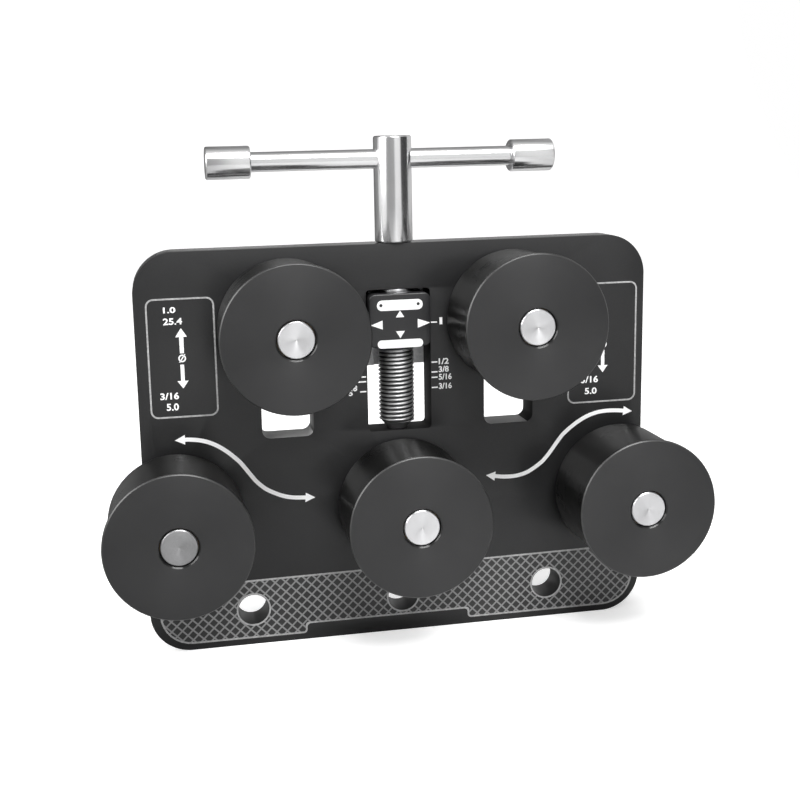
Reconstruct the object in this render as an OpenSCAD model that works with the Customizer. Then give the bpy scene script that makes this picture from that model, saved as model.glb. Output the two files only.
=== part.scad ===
// Five-roller tube straightener: two rollers on a screw-driven carriage close on three fixed ones.
// Z is up and the rollers face -Y. The origin is the middle mounting hole on the plate's rear face.

/* [Plate] */
// Width of the plate
plate_w = 158.75; // [140:0.25:180]
// Height of the plate
plate_h = 123.8; // [118:0.1:140]
// Thickness of the plate
plate_t = 9.525; // [8:0.025:12]
// Radius of the plate's four corners
corner_r = 12.5; // [4:0.5:20]

/* [Mounting holes] */
// Distance between neighbouring mounting holes
hole_pitch = 47.625; // [40:0.125:54]
// Diameter of the mounting holes
hole_d = 9.5; // [5:0.1:12]
// Height of the mounting holes above the plate's lower edge
hole_rise = 11.4; // [9:0.1:14]

/* [Tube range] */
// Largest tube diameter, at which the carriage is at the top
tube_max = 25.4; // [22:0.1:26]
// Smallest tube diameter, at which the carriage is at the bottom
tube_min = 4.7625; // [4:0.0625:8]

/* [Rollers] */
// Distance from the plate's sides to the outer lower axles
axle_inset = 9.525; // [8:0.025:14]
// Height of the upper row above the lower row with the carriage at the top
row_gap = 57.15; // [50:0.05:62]
// Diameter of a roller over the lip at its front
roller_d = 42.9; // [40:0.1:45]
// Length of a roller
roller_l = 25.4; // [22:0.1:28]
// Distance from the plate to the rollers
roller_standoff = 3.175; // [3:0.025:9]
// How far the lip stands out of the barrel that the tube runs on
lip_h = 1; // [0.4:0.1:2]
// Thickness of the lip
lip_t = 1.4; // [1:0.1:3]
// Chamfer of a roller's edges
rim_chamfer = 0.4; // [0.2:0.1:0.8]

/* [Axles] */
// Diameter of an axle's head
head_d = 10.6; // [10.4:0.1:12]
// Thickness of an axle's head
head_t = 2.2; // [1.5:0.1:3]
// How deep the head lies below the roller's face
head_recess = 0.2; // [0.1:0.1:3]
// Diameter of the journal that the roller turns on
journal_d = 9.5; // [9:0.1:9.8]
// Diameter of the threaded stud behind the journal
stud_d = 7.94; // [7:0.02:8.5]
// Outer diameter of a roller's bush
bush_d = 12.7; // [12.3:0.1:14]
// Outer diameter of the spacer between roller and plate
spacer_d = 15; // [12.5:0.1:15.4]

/* [Slots and window] */
// Width of the two slots
slot_w = 15.875; // [15:0.025:18]
// Corner radius of the slots
slot_r = 2.5; // [1:0.1:4]
// Corner radius of the window
window_r = 1.2; // [0.5:0.1:2]
// Height of the bridge that holds the screw above the window
bridge_h = 13.9; // [12:0.1:16]

/* [Carriage] */
// Width of the nut block
block_w = 19.05; // [18:0.05:22]
// Height of the nut block
block_h = 16.4; // [14:0.1:19]
// How far the nut block stands out of the plate's face
block_proud = 2.6; // [1:0.1:5]
// Height of the carriage bar behind the plate
bar_h = 31.5; // [28:0.1:34]
// Thickness of the carriage bar
bar_t = 12.7; // [10:0.1:16]
// How far the carriage bar reaches past the upper axles
bar_reach = 12.5; // [10:0.1:18]
// Height of a slide shoe
shoe_h = 20; // [16:0.1:22]
// Width of the collar that holds the carriage against the plate's face
collar_d = 22; // [18:0.1:26]

/* [Screw] */
// Outer diameter of the adjusting screw
screw_d = 11.1; // [10:0.1:12]
// Pitch of the adjusting screw
pitch = 1.27; // [1:0.01:1.75]
// Diameter of the screw's neck in the bridge
neck_d = 6.35; // [5:0.05:7]
// Diameter of the screw's lower pilot
pilot_d = 6.2; // [5:0.05:7]

/* [Handle] */
// Diameter of the handle post
post_d = 11.6; // [10:0.1:14]
// Height of the handle post
post_h = 32; // [28:0.5:45]
// Depth of the sliding bar below the top of the post
bar_drop = 6.9; // [5:0.1:9]
// Diameter of the sliding bar
rod_d = 6; // [4:0.1:7]
// Length of the sliding bar between its knobs
rod_span = 79.7; // [60:0.1:100]
// How far the bar is pushed to the left
rod_shift = 3.2; // [0:0.1:10]
// Diameter of the knobs
knob_d = 9.8; // [8.6:0.1:12]
// Length of a knob
knob_l = 13.3; // [11:0.1:18]

/* [Hidden] */
$fn = 96;
// Running clearance on the radius of a journal, neck, pilot or thread
run_fit = 0.05;
// Clearance on the radius of a stud, screw or seated piece in its hole
seat_fit = 0.03;
// Clearance between faces that slide on each other
slide_gap = 0.2;
// Clearance on either side of the nut block in the window, and radius of the block's corners
block_gap = 0.475;
block_r = 2;
// Play of a roller along its axle, at each end
end_play = 0.2;
// How far a cut runs past the face that it opens
over = 1;
// Clearance around an axle's head in its counterbore, and edge break of the head
head_ease = 0.5;
head_edge = 0.2;
// Clearance around the screw in the carriage bar
relief_gap = 0.5;
// Depth of the thread and half width of a groove at its root, in pitches
thread_depth_share = 0.6;
thread_root_share = 0.12;
// Nuts and washers of the studs
nut_af = 12.7;
nut_h = 6.8;
washer_d = 17;
washer_t = 1.6;
stud_end = 1.6;
// Screws that hold the nut block to the bar
block_screw_d = 2.5;
block_screw_head_d = 4.5;
block_screw_head_h = 2.5;
block_screw_bite = 7;
// How far a screw hole is deeper than its screw
hole_spare = 0.4;
// Stop behind the plate, a little below the sill: its notch clears the nut below, under a web
stop_drop = 1.85;
stop_w = 38;
stop_h = 12;
stop_t = 5;
stop_web = 4;
stop_ease = 1;
stop_screw_d = 4;
stop_screw_head_d = 7;
stop_screw_head_h = 2.6;
stop_screw_bite = 6;
// Thrust washer under the bridge
thrust_t = 0.9;
thrust_d = 10.4;
thrust_play = 0.1;
// Lower end of the screw, and the share of the post's height that its neck takes up
pilot_l = 8;
taper_h = 2.2;
neck_share = 0.5;
// Set screw of the post
set_d = 4;
set_rise = 8;
// Insides of the knobs, share of a knob's diameter that its edge break takes, and other edges
knob_bore = 8;
knob_edge_share = 0.05;
post_edge = 0.5;
collar_t = 2;
// Depth and radius of a hexagon socket, as parts of the head's height and the shank's diameter
hex_share = 0.5;

plate_front = -plate_t;
plate_bottom = -hole_rise;
plate_top = plate_h - hole_rise;
window_top = plate_top - bridge_h;
travel = tube_max - tube_min;
roller_pitch = plate_w / 2 - axle_inset;
window_w = block_w + 2 * block_gap;
shoulder_rise = window_top - thrust_t - 2 * thrust_play;
upper_rise = shoulder_rise - run_fit - block_h / 2;
lower_rise = upper_rise - row_gap;
stop_rise = upper_rise - bar_h / 2 - travel - slide_gap;
sill_rise = stop_rise + stop_drop;
roller_back = plate_front - roller_standoff;
roller_front = roller_back - roller_l;
barrel_r = roller_d / 2 - lip_h;
counter_l = head_recess + head_t + end_play;
counter_r = head_d / 2 + head_ease;
shoulder = roller_back + end_play;
bar_front = slide_gap;
bar_back = bar_front + bar_t;
bar_w = roller_pitch + 2 * bar_reach;
shoe_w = slot_w - 2 * slide_gap;
shoe_front = plate_front - slide_gap;
slot_top = upper_rise + shoe_h / 2 + end_play + slide_gap;
axis_y = plate_front / 2;
block_front = plate_front - block_proud;
block_rise = upper_rise - block_h / 2;
thread_low = sill_rise + taper_h + slide_gap;
block_screw_x = (screw_d / 2 + block_w / 2) / 2 + run_fit;
block_screw_z = block_h / 2 - block_screw_d;
notch_w = washer_d + 2 * stop_ease;
stop_screw_x = (stop_w + notch_w) / 4;
stop_screw_z = stop_rise - stop_h / 2;
relief_w = screw_d + 2 * relief_gap;
relief_t = screw_d / 2 + axis_y - bar_front + relief_gap;
post_foot = plate_top + thrust_play;
neck_top = plate_top + post_h * neck_share;
rod_rise = post_foot + post_h - bar_drop;
knob_edge = knob_d * knob_edge_share;
lower_x = [-roller_pitch, 0, roller_pitch];
upper_x = [-roller_pitch / 2, roller_pitch / 2];

// A rectangle with round corners, centred on x and standing on y = 0
module round_rect(w, h, r) {
    translate([-w / 2, r]) square([w, h - 2 * r]);
    translate([r - w / 2, 0]) square([w - 2 * r, h]);
    for (x = [r - w / 2, w / 2 - r], y = [r, h - r]) translate([x, y]) circle(r);
}

// An outline in x and z made solid from y0 to y1
module slab(y0, y1) {
    translate([0, y1, 0]) rotate([90, 0, 0]) linear_extrude(y1 - y0) children();
}

// A rod along y at x and z
module rod_y(x, z, y0, y1, r, sides = $fn) {
    translate([x, y1, z]) rotate([90, 0, 0]) cylinder(h = y1 - y0, r = r, $fn = sides);
}

// A turned piece with its axis along y: the outline gives radius and distance behind y0
module turned_y(x, z, y0) {
    translate([x, y0, z]) rotate([-90, 0, 0]) rotate_extrude() children();
}

module slot_outline() {
    translate([0, sill_rise]) round_rect(slot_w, slot_top - sill_rise, slot_r);
}

module plate() {
    color([0.16, 0.16, 0.17]) difference() {
        slab(plate_front, 0) difference() {
            translate([0, plate_bottom]) round_rect(plate_w, plate_h, corner_r);
            translate([0, sill_rise]) round_rect(window_w, window_top - sill_rise, window_r);
            for (x = upper_x) translate([x, 0]) slot_outline();
        }
        for (i = [-1:1]) rod_y(i * hole_pitch, 0, plate_front - over, over, hole_d / 2);
        for (x = lower_x) rod_y(x, lower_rise, plate_front - over, over, stud_d / 2 + seat_fit);
        translate([0, axis_y, window_top - over])
            cylinder(h = bridge_h + 2 * over, r = neck_d / 2 + run_fit);
        translate([0, axis_y, sill_rise - pilot_l - hole_spare])
            cylinder(h = pilot_l + hole_spare + over, r = pilot_d / 2 + run_fit);
        for (sx = [-1, 1]) rod_y(sx * stop_screw_x, stop_screw_z, -stop_screw_bite - hole_spare,
            over, stop_screw_d / 2 + seat_fit);
    }
}

module travel_stop() {
    color([0.55, 0.56, 0.58]) difference() {
        slab(0, stop_t) difference() {
            translate([0, stop_rise - stop_h]) round_rect(stop_w, stop_h, window_r);
            translate([-notch_w / 2, stop_rise - stop_h - over])
                square([notch_w, stop_h - stop_web + over]);
        }
        for (sx = [-1, 1])
            rod_y(sx * stop_screw_x, stop_screw_z, -over, stop_t + over, stop_screw_d / 2 + seat_fit);
    }
}

// A cap screw along y: its shank points to -Y and its head has a hexagon socket
module cap_screw(x, z, tip, seat, d, head_dia, head_height) {
    difference() {
        union() {
            rod_y(x, z, tip, seat, d / 2);
            rod_y(x, z, seat, seat + head_height, head_dia / 2);
        }
        rod_y(x, z, seat + head_height * hex_share, seat + head_height + over,
            d * hex_share, 6);
    }
}

module stop_screws() {
    color([0.3, 0.3, 0.32])
        for (sx = [-1, 1]) cap_screw(sx * stop_screw_x, stop_screw_z, -stop_screw_bite, stop_t,
            stop_screw_d, stop_screw_head_d, stop_screw_head_h);
}

module carriage_bar() {
    color([0.5, 0.51, 0.53]) difference() {
        slab(bar_front, bar_back)
            translate([0, upper_rise - bar_h / 2]) round_rect(bar_w, bar_h, bar_reach / 2);
        for (x = upper_x) rod_y(x, upper_rise, bar_front - over, bar_back + over, stud_d / 2 + seat_fit);
        for (sx = [-1, 1], sz = [-1, 1]) {
            rod_y(sx * block_screw_x, upper_rise + sz * block_screw_z, bar_front - over,
                bar_back + over, block_screw_d / 2 + seat_fit);
            rod_y(sx * block_screw_x, upper_rise + sz * block_screw_z, bar_back - block_screw_head_h,
                bar_back + over, block_screw_head_d / 2 + seat_fit);
        }
        translate([-relief_w / 2, bar_front - over, upper_rise - bar_h])
            cube([relief_w, relief_t + over, 2 * bar_h]);
    }
}

module nut_block() {
    color([0.2, 0.2, 0.21]) difference() {
        slab(block_front, bar_front)
            translate([0, block_rise]) round_rect(block_w, block_h, block_r);
        translate([0, axis_y, block_rise - over])
            cylinder(h = block_h + 2 * over, r = screw_d / 2 + run_fit);
        for (sx = [-1, 1], sz = [-1, 1])
            rod_y(sx * block_screw_x, upper_rise + sz * block_screw_z,
                bar_front - block_screw_bite - hole_spare, bar_front + over,
                block_screw_d / 2 + seat_fit);
    }
}

module block_screws() {
    color([0.3, 0.3, 0.32]) for (sx = [-1, 1], sz = [-1, 1])
        cap_screw(sx * block_screw_x, upper_rise + sz * block_screw_z,
            bar_front - block_screw_bite, bar_back - block_screw_head_h,
            block_screw_d, block_screw_head_d, block_screw_head_h);
}

module slide_shoe(x) {
    color([0.72, 0.55, 0.28]) difference() {
        slab(shoe_front, bar_front) translate([x, upper_rise - shoe_h / 2])
            round_rect(shoe_w, shoe_h, slot_r);
        rod_y(x, upper_rise, shoe_front - over, bar_front + over, stud_d / 2 + seat_fit);
    }
}

// The screw's outline: radius and height, with one ring groove for each turn of the thread
module adjusting_screw() {
    depth = pitch * thread_depth_share;
    root = pitch * thread_root_share;
    turns = floor((shoulder_rise - thread_low) / pitch);
    r = screw_d / 2;
    tip = sill_rise - pilot_l;
    color([0.75, 0.76, 0.78]) translate([0, axis_y, 0]) rotate_extrude() difference() {
        polygon([[0, tip], [pilot_d / 2 - post_edge, tip], [pilot_d / 2, tip + post_edge],
            [pilot_d / 2, thread_low - taper_h], [r, thread_low], [r, shoulder_rise],
            [neck_d / 2, shoulder_rise], [neck_d / 2, neck_top],
            [0, neck_top]]);
        for (i = [0:turns - 1]) translate([0, thread_low + (i + 1 / 2) * pitch])
            polygon([[r - depth, -root], [r + depth, -pitch / 2 - root / 2],
                [r + depth, pitch / 2 + root / 2], [r - depth, root]]);
    }
}

module thrust_washer() {
    color([0.78, 0.79, 0.8]) translate([0, axis_y, window_top - thrust_play - thrust_t]) difference() {
        cylinder(h = thrust_t, r = thrust_d / 2);
        translate([0, 0, -over]) cylinder(h = thrust_t + 2 * over, r = neck_d / 2 + run_fit);
    }
}

module handle_post() {
    r = post_d / 2;
    color([0.8, 0.81, 0.83]) difference() {
        translate([0, axis_y, 0]) rotate_extrude() polygon([[neck_d / 2 + seat_fit, post_foot],
            [r - post_edge, post_foot], [r, post_foot + post_edge],
            [r, post_foot + post_h - post_edge],
            [r - post_edge, post_foot + post_h], [0, post_foot + post_h], [0, neck_top],
            [neck_d / 2 + seat_fit, neck_top]]);
        translate([-post_d, axis_y, rod_rise]) rotate([0, 90, 0])
            cylinder(h = 2 * post_d, r = rod_d / 2 + run_fit);
        rod_y(0, plate_top + set_rise, axis_y, axis_y + post_d, set_d / 2 + seat_fit);
    }
}

module set_screw() {
    inner = axis_y + neck_d / 2 + seat_fit;
    outer = axis_y + post_d / 2 - post_edge;
    color([0.3, 0.3, 0.32]) difference() {
        rod_y(0, plate_top + set_rise, inner, outer, set_d / 2);
        rod_y(0, plate_top + set_rise, (inner + outer) / 2, outer + over, set_d * hex_share / 2, 6);
    }
}

module sliding_bar() {
    color([0.8, 0.81, 0.83]) translate([-rod_shift - rod_span / 2 - knob_bore, axis_y, rod_rise])
        rotate([0, 90, 0]) cylinder(h = rod_span + 2 * knob_bore, r = rod_d / 2);
}

// A knob: side is -1 for the left one, 1 for the right one
module knob(side) {
    r = knob_d / 2;
    color([0.78, 0.79, 0.81]) translate([side * rod_span / 2 - rod_shift, axis_y, rod_rise])
        rotate([0, side * 90, 0]) rotate_extrude() polygon([[rod_d / 2 + seat_fit, 0],
            [r - knob_edge, 0], [r, knob_edge], [r, knob_l - knob_edge], [r - knob_edge, knob_l],
            [0, knob_l], [0, knob_bore + seat_fit], [rod_d / 2 + seat_fit, knob_bore + seat_fit]]);
}

// A plain barrel with a low lip at the front, a bush's bore and a counterbore for the axle's head
module roller(x, z) {
    r = roller_d / 2;
    bore_r = bush_d / 2 + seat_fit;
    color([0.13, 0.13, 0.14]) turned_y(x, z, roller_front)
        polygon([[counter_r, 0], [r - rim_chamfer, 0], [r, rim_chamfer], [r, lip_t],
            [barrel_r, lip_t], [barrel_r, roller_l - rim_chamfer],
            [barrel_r - rim_chamfer, roller_l], [bore_r, roller_l], [bore_r, counter_l],
            [counter_r, counter_l]]);
}

module bush(x, z) {
    color([0.72, 0.5, 0.25]) turned_y(x, z, roller_front + counter_l)
        translate([journal_d / 2 + run_fit, 0])
            square([bush_d / 2 - journal_d / 2 - run_fit, roller_l - counter_l]);
}

// An axle whose stud ends at the given y
module axle(x, z, tail) {
    front = roller_front + head_recess;
    shank = shoulder - front;
    end = tail - front;
    color([0.8, 0.81, 0.83]) turned_y(x, z, front)
        polygon([[0, 0], [head_d / 2 - head_edge, 0], [head_d / 2, head_edge], [head_d / 2, head_t],
            [journal_d / 2, head_t], [journal_d / 2, shank], [stud_d / 2, shank],
            [stud_d / 2, end - post_edge], [stud_d / 2 - post_edge, end], [0, end]]);
}

module spacer(x) {
    color([0.7, 0.71, 0.73]) turned_y(x, lower_rise, shoulder)
        translate([stud_d / 2 + seat_fit, 0])
            square([spacer_d / 2 - stud_d / 2 - seat_fit, plate_front - shoulder]);
}

// The collar of an upper axle rubs on the plate's face beside the slot
module collar(x) {
    l = shoe_front - shoulder;
    color([0.7, 0.71, 0.73]) turned_y(x, upper_rise, shoulder) difference() {
        union() {
            square([spacer_d / 2, l]);
            translate([0, l - collar_t]) square([collar_d / 2, collar_t]);
        }
        square([stud_d / 2 + seat_fit, 2 * l]);
    }
}

module washers(xs, z, y) {
    color([0.68, 0.69, 0.7]) for (x = xs) difference() {
        rod_y(x, z, y, y + washer_t, washer_d / 2);
        rod_y(x, z, y - over, y + washer_t + over, stud_d / 2 + seat_fit);
    }
}

module nuts(xs, z, y) {
    color([0.62, 0.63, 0.65]) for (x = xs) difference() {
        rod_y(x, z, y, y + nut_h, nut_af / sqrt(3), 6);
        rod_y(x, z, y - over, y + nut_h + over, stud_d / 2 + seat_fit);
    }
}

lower_tail = washer_t + nut_h + stud_end;
upper_tail = bar_back + lower_tail;
plate();
travel_stop();
stop_screws();
carriage_bar();
nut_block();
block_screws();
slide_shoe(upper_x[0]);  // slide_shoe_left
slide_shoe(upper_x[1]);  // slide_shoe_right
adjusting_screw();
thrust_washer();
handle_post();
set_screw();
sliding_bar();
knob(-1);  // knob_left
knob(1);  // knob_right
roller(lower_x[0], lower_rise);  // roller_lower_left
roller(lower_x[1], lower_rise);  // roller_lower_middle
roller(lower_x[2], lower_rise);  // roller_lower_right
roller(upper_x[0], upper_rise);  // roller_upper_left
roller(upper_x[1], upper_rise);  // roller_upper_right
bush(lower_x[0], lower_rise);  // bush_lower_left
bush(lower_x[1], lower_rise);  // bush_lower_middle
bush(lower_x[2], lower_rise);  // bush_lower_right
bush(upper_x[0], upper_rise);  // bush_upper_left
bush(upper_x[1], upper_rise);  // bush_upper_right
axle(lower_x[0], lower_rise, lower_tail);  // axle_lower_left
axle(lower_x[1], lower_rise, lower_tail);  // axle_lower_middle
axle(lower_x[2], lower_rise, lower_tail);  // axle_lower_right
axle(upper_x[0], upper_rise, upper_tail);  // axle_upper_left
axle(upper_x[1], upper_rise, upper_tail);  // axle_upper_right
spacer(lower_x[0]);  // spacer_lower_left
spacer(lower_x[1]);  // spacer_lower_middle
spacer(lower_x[2]);  // spacer_lower_right
collar(upper_x[0]);  // collar_upper_left
collar(upper_x[1]);  // collar_upper_right
washers(lower_x, lower_rise, 0);  // lower_washers
nuts(lower_x, lower_rise, washer_t);  // lower_nuts
washers(upper_x, upper_rise, bar_back);  // upper_washers
nuts(upper_x, upper_rise, bar_back + washer_t);  // upper_nuts
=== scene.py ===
import math

import bmesh
import bpy
from mathutils import Matrix, Vector


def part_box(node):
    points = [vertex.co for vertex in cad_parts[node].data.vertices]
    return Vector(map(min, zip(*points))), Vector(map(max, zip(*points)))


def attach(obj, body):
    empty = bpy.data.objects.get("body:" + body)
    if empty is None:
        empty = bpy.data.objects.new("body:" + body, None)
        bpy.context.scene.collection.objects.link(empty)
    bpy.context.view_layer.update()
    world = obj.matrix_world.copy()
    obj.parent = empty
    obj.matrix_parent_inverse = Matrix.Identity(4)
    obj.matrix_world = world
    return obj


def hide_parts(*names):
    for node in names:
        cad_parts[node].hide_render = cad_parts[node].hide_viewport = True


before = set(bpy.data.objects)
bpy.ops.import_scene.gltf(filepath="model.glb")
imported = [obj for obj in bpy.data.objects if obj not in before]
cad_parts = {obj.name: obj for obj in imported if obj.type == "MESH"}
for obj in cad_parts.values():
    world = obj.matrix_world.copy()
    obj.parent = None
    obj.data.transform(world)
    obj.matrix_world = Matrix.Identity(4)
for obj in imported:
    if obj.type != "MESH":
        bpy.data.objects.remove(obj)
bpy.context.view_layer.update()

mm = 0.001  # every size below is in millimetres
weld = 1e-4  # points nearer than this are merged
alongY = Matrix.Rotation(math.radians(-90), 4, "X")  # a piece turned about Z then runs back along Y
alongX = Matrix.Rotation(math.radians(90), 4, "Y")  # and this lays it along X
upright = Matrix.Rotation(math.radians(90), 4, "X")  # stands a flat drawing up in X and Z
lowerRow = ("lower_left", "lower_middle", "lower_right")
upperRow = ("upper_left", "upper_right")


def lowOf(node):
    return Vector(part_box(node)[0]) / mm


def highOf(node):
    return Vector(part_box(node)[1]) / mm


def middleOf(node):
    return (lowOf(node) + highOf(node)) / 2


def depthOf(node):
    return highOf(node).y - lowOf(node).y


def at(x, y, z):
    return Matrix.Translation((x, y, z))


def seat(x, y, z):  # a turned piece's first end sits here, and its axis runs back along Y
    return at(x, y, z) @ alongY


def seatOf(node):
    middle = middleOf(node)
    return seat(middle.x, lowOf(node).y, middle.z)


def addObject(name, data):
    thing = bpy.data.objects.new(name, data)
    bpy.context.scene.collection.objects.link(thing)
    return thing


# Finishes: every one has its own grain, tone drift and roughness drift
def feed(tree, node, sockets):  # each takes a value or another node's output
    for key, value in sockets.items():
        if isinstance(value, bpy.types.NodeSocket):
            tree.links.new(value, node.inputs[key])
        else:
            node.inputs[key].default_value = value


def addNode(tree, kind, sockets=None, **settings):
    node = tree.nodes.new("ShaderNode" + kind)
    for key, value in settings.items():
        setattr(node, key, value)
    feed(tree, node, sockets or {})
    return node


def maths(tree, operation, first, second):
    return addNode(tree, "Math", {0: first, 1: second}, operation=operation).outputs["Value"]


def mixed(tree, factor, plain, other):
    sockets = {"Factor": factor, "A": plain, "B": other}
    return addNode(tree, "Mix", sockets, data_type="FLOAT").outputs["Result"]


def ranged(tree, value, limits, **settings):
    sockets = dict(zip(("From Min", "From Max", "To Min", "To Max"), limits))
    return addNode(tree, "MapRange", {"Value": value, **sockets}, **settings).outputs["Result"]


def toneRamp(tree, source, stops):
    ramp = addNode(tree, "ValToRGB", {"Fac": source})
    elements = ramp.color_ramp.elements
    for place, colour in stops:
        elements.new(place).color = (*colour, 1)
    elements.remove(elements[0])  # the two that a new ramp has
    elements.remove(elements[-1])
    return ramp.outputs["Color"]


def crossedLines(tree, place, hatch):  # 1 on the lines, 0 in the cells between them
    split = addNode(tree, "SeparateXYZ", {"Vector": place}).outputs
    pitch = hatch["pitch"] * mm / math.sqrt(2)
    limits = [hatch["line"] * mm * share / math.sqrt(2) for share in hatch["soft"]]
    lines = []
    for way in ("ADD", "SUBTRACT"):
        saw = maths(tree, "PINGPONG", maths(tree, way, split["X"], split["Z"]), pitch)
        lines.append(ranged(tree, saw, limits))
    return maths(tree, "MAXIMUM", *lines)


def newMaterial(name):
    material = bpy.data.materials.new(name)
    material.use_nodes = True
    return material, material.node_tree, material.node_tree.nodes["Principled BSDF"]


commonLook = {"metal": 0, "specular": 0.5, "stretch": 0, "driftScale": 60, "driftDetail": 3,
              "grainScale": 3000, "grainDetail": 2, "grainTone": 0.4, "toneEnds": (0.35, 0.65),
              "bump": 0.05, "bumpDepth": 0.00002}


def makeFinish(name, look):
    look = {**commonLook, **look}
    material, tree, shader = newMaterial(name)
    place = addNode(tree, "TexCoord").outputs
    grainPlace = place["Object"]
    if "toolMarks" in look:  # they run round the piece, and the sheen is drawn out across them
        drawn = addNode(tree, "Mapping", {"Vector": place["UV"], "Scale": look["toolMarks"]})
        grainPlace = drawn.outputs["Vector"]
        tangent = addNode(tree, "Tangent", direction_type="UV_MAP", uv_map="turned")
        feed(tree, shader, {"Tangent": tangent.outputs["Tangent"]})
    drift, grain = (addNode(tree, "TexNoise", {"Vector": vector, "Scale": look[kind + "Scale"],
                                               "Detail": look[kind + "Detail"]}).outputs["Fac"]
                    for kind, vector in (("drift", place["Object"]), ("grain", grainPlace)))
    blend = mixed(tree, look["grainTone"], drift, grain)
    colour = toneRamp(tree, blend, zip(look["toneEnds"], look["colours"]))
    if "hatch" in look:  # crossed lines printed over the ground colour
        crossed = crossedLines(tree, place["Object"], look["hatch"])
        overlay = addNode(tree, "Mix", {"Factor": crossed}, data_type="RGBA")
        ground, lines = [socket for socket in overlay.inputs if socket.type == "RGBA"]
        lines.default_value = (*look["hatch"]["colour"], 1)
        tree.links.new(colour, ground)
        colour = [socket for socket in overlay.outputs if socket.type == "RGBA"][0]
    bump = addNode(tree, "Bump", {"Strength": look["bump"], "Distance": look["bumpDepth"], "Height": grain})
    feed(tree, shader, {"Metallic": look["metal"], "Specular IOR Level": look["specular"],
                        "Anisotropic": look["stretch"], "Base Color": colour,
                        "Roughness": ranged(tree, blend, (0, 1, *look["rough"])),
                        "Normal": bump.outputs["Normal"]})
    return material


# toolMarks are the grain's scale along a turned profile and round its axis
finishes = {
    "plateBlack": {"colours": ((0.015, 0.015, 0.0155), (0.023, 0.023, 0.0235)), "rough": (0.27, 0.35),
                   "specular": 0.34, "grainScale": 5200, "bump": 0.1, "driftScale": 30},
    "barrelBlack": {"colours": ((0.003, 0.003, 0.003), (0.006, 0.006, 0.006)), "rough": (0.25, 0.31),
                    "specular": 0.55, "stretch": 1.0, "toolMarks": (60000, 3, 1), "grainScale": 4,
                    "bump": 0.03, "driftScale": 90},
    "faceBlack": {"colours": ((0.012, 0.012, 0.0125), (0.017, 0.017, 0.0175)), "rough": (0.38, 0.48),
                  "stretch": 0.5, "toolMarks": (60000, 3, 1), "grainScale": 4, "bump": 0.03,
                  "driftScale": 70},
    # painted highlight: a lighter black on the roller lip's rim
    "rimPaintedHighlight": {"colours": ((0.014, 0.014, 0.014), (0.036, 0.036, 0.036)), "rough": (0.28, 0.4),
                "grainScale": 2600, "driftScale": 120},
    "edgeGloss": {"colours": ((0.02, 0.02, 0.02), (0.035, 0.035, 0.035)), "rough": (0.1, 0.16),
                  "specular": 1.0, "bump": 0.02},
    "blockBlack": {"colours": ((0.01, 0.01, 0.011), (0.017, 0.017, 0.018)), "rough": (0.3, 0.42),
                   "grainScale": 4200, "bump": 0.1},
    "screwBlack": {"colours": ((0.012, 0.012, 0.013), (0.03, 0.03, 0.032)), "rough": (0.32, 0.5),
                   "metal": 0.6, "bump": 0.15},
    "barSteel": {"colours": ((0.66, 0.66, 0.665), (0.86, 0.86, 0.865)), "rough": (0.42, 0.6), "metal": 0.35,
                 "grainScale": 1500, "grainTone": 0.65, "bump": 0.2},
    "turnedSteel": {"colours": ((0.6, 0.6, 0.61), (0.8, 0.8, 0.81)), "rough": (0.28, 0.4), "metal": 1,
                    "stretch": 0.65, "toolMarks": (90000, 2, 1), "grainScale": 4, "bump": 0.12},
    # painted shade: a darker copy of the turned steel with a coarser mottled grain, for the lower left axle's
    # dimmer head
    "dullSteel": {"colours": ((0.26, 0.26, 0.265), (0.42, 0.42, 0.425)), "rough": (0.34, 0.46), "metal": 1,
                  "stretch": 0.5, "toolMarks": (3000, 5, 1), "grainScale": 3, "bump": 0.12},
    # painted shade: the darker black of the walls inside the plate's openings
    "wallPaintedShade": {"colours": ((0.004, 0.004, 0.004), (0.007, 0.007, 0.007)), "rough": (0.5, 0.65),
                    "specular": 0.12, "grainScale": 4000},
    # painted light: a lit grey on the upward faces of the slots' sills
    "sillPaintedLight": {"colours": ((0.2, 0.2, 0.2), (0.34, 0.34, 0.34)), "rough": (0.3, 0.4), "specular": 1.0,
                  "bump": 0.1},
    "handleSteel": {"colours": ((0.7, 0.7, 0.705), (0.78, 0.78, 0.785)), "rough": (0.17, 0.24), "metal": 1,
                    "stretch": 0.5, "toolMarks": (70000, 3, 1), "grainScale": 4, "bump": 0.04},
    "threadSteel": {"colours": ((0.68, 0.68, 0.685), (0.82, 0.82, 0.825)), "rough": (0.34, 0.42), "metal": 1,
                    "grainScale": 900, "grainTone": 0.3, "bump": 0.02},
    # painted shade: the dark of the thread's groove
    "groovePaintedShade": {"colours": ((0.051, 0.051, 0.051), (0.119, 0.119, 0.119)), "rough": (0.4, 0.55),
                   "metal": 0.6, "grainScale": 1500},
    "zincSteel": {"colours": ((0.5, 0.51, 0.53), (0.64, 0.65, 0.67)), "rough": (0.26, 0.42), "metal": 1,
                  "grainScale": 1200, "grainTone": 0.6, "bump": 0.15},
    "bearingBronze": {"colours": ((0.12, 0.085, 0.05), (0.26, 0.19, 0.11)), "rough": (0.4, 0.55), "metal": 1,
                      "grainScale": 3600, "grainTone": 0.6, "bump": 0.25},
    "markWhite": {"colours": ((0.92, 0.92, 0.92), (0.98, 0.98, 0.98)), "rough": (0.5, 0.6),
                  "grainScale": 6000},
    "markGrey": {"colours": ((0.26, 0.26, 0.26), (0.44, 0.44, 0.44)), "rough": (0.45, 0.6),
                 "grainScale": 1400, "grainTone": 0.7},
    "hatchGrey": {"colours": ((0.013, 0.013, 0.0135), (0.026, 0.026, 0.0265)), "rough": (0.4, 0.52),
                  "bump": 0.06, "driftScale": 45,
                  "hatch": {"pitch": 2.3, "line": 0.5, "soft": (1.2, 0.8), "colour": (0.23, 0.23, 0.23)}},
}
finish = {name: makeFinish(name, look) for name, look in finishes.items()}
print("finishes made:", len(finish))


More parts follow.
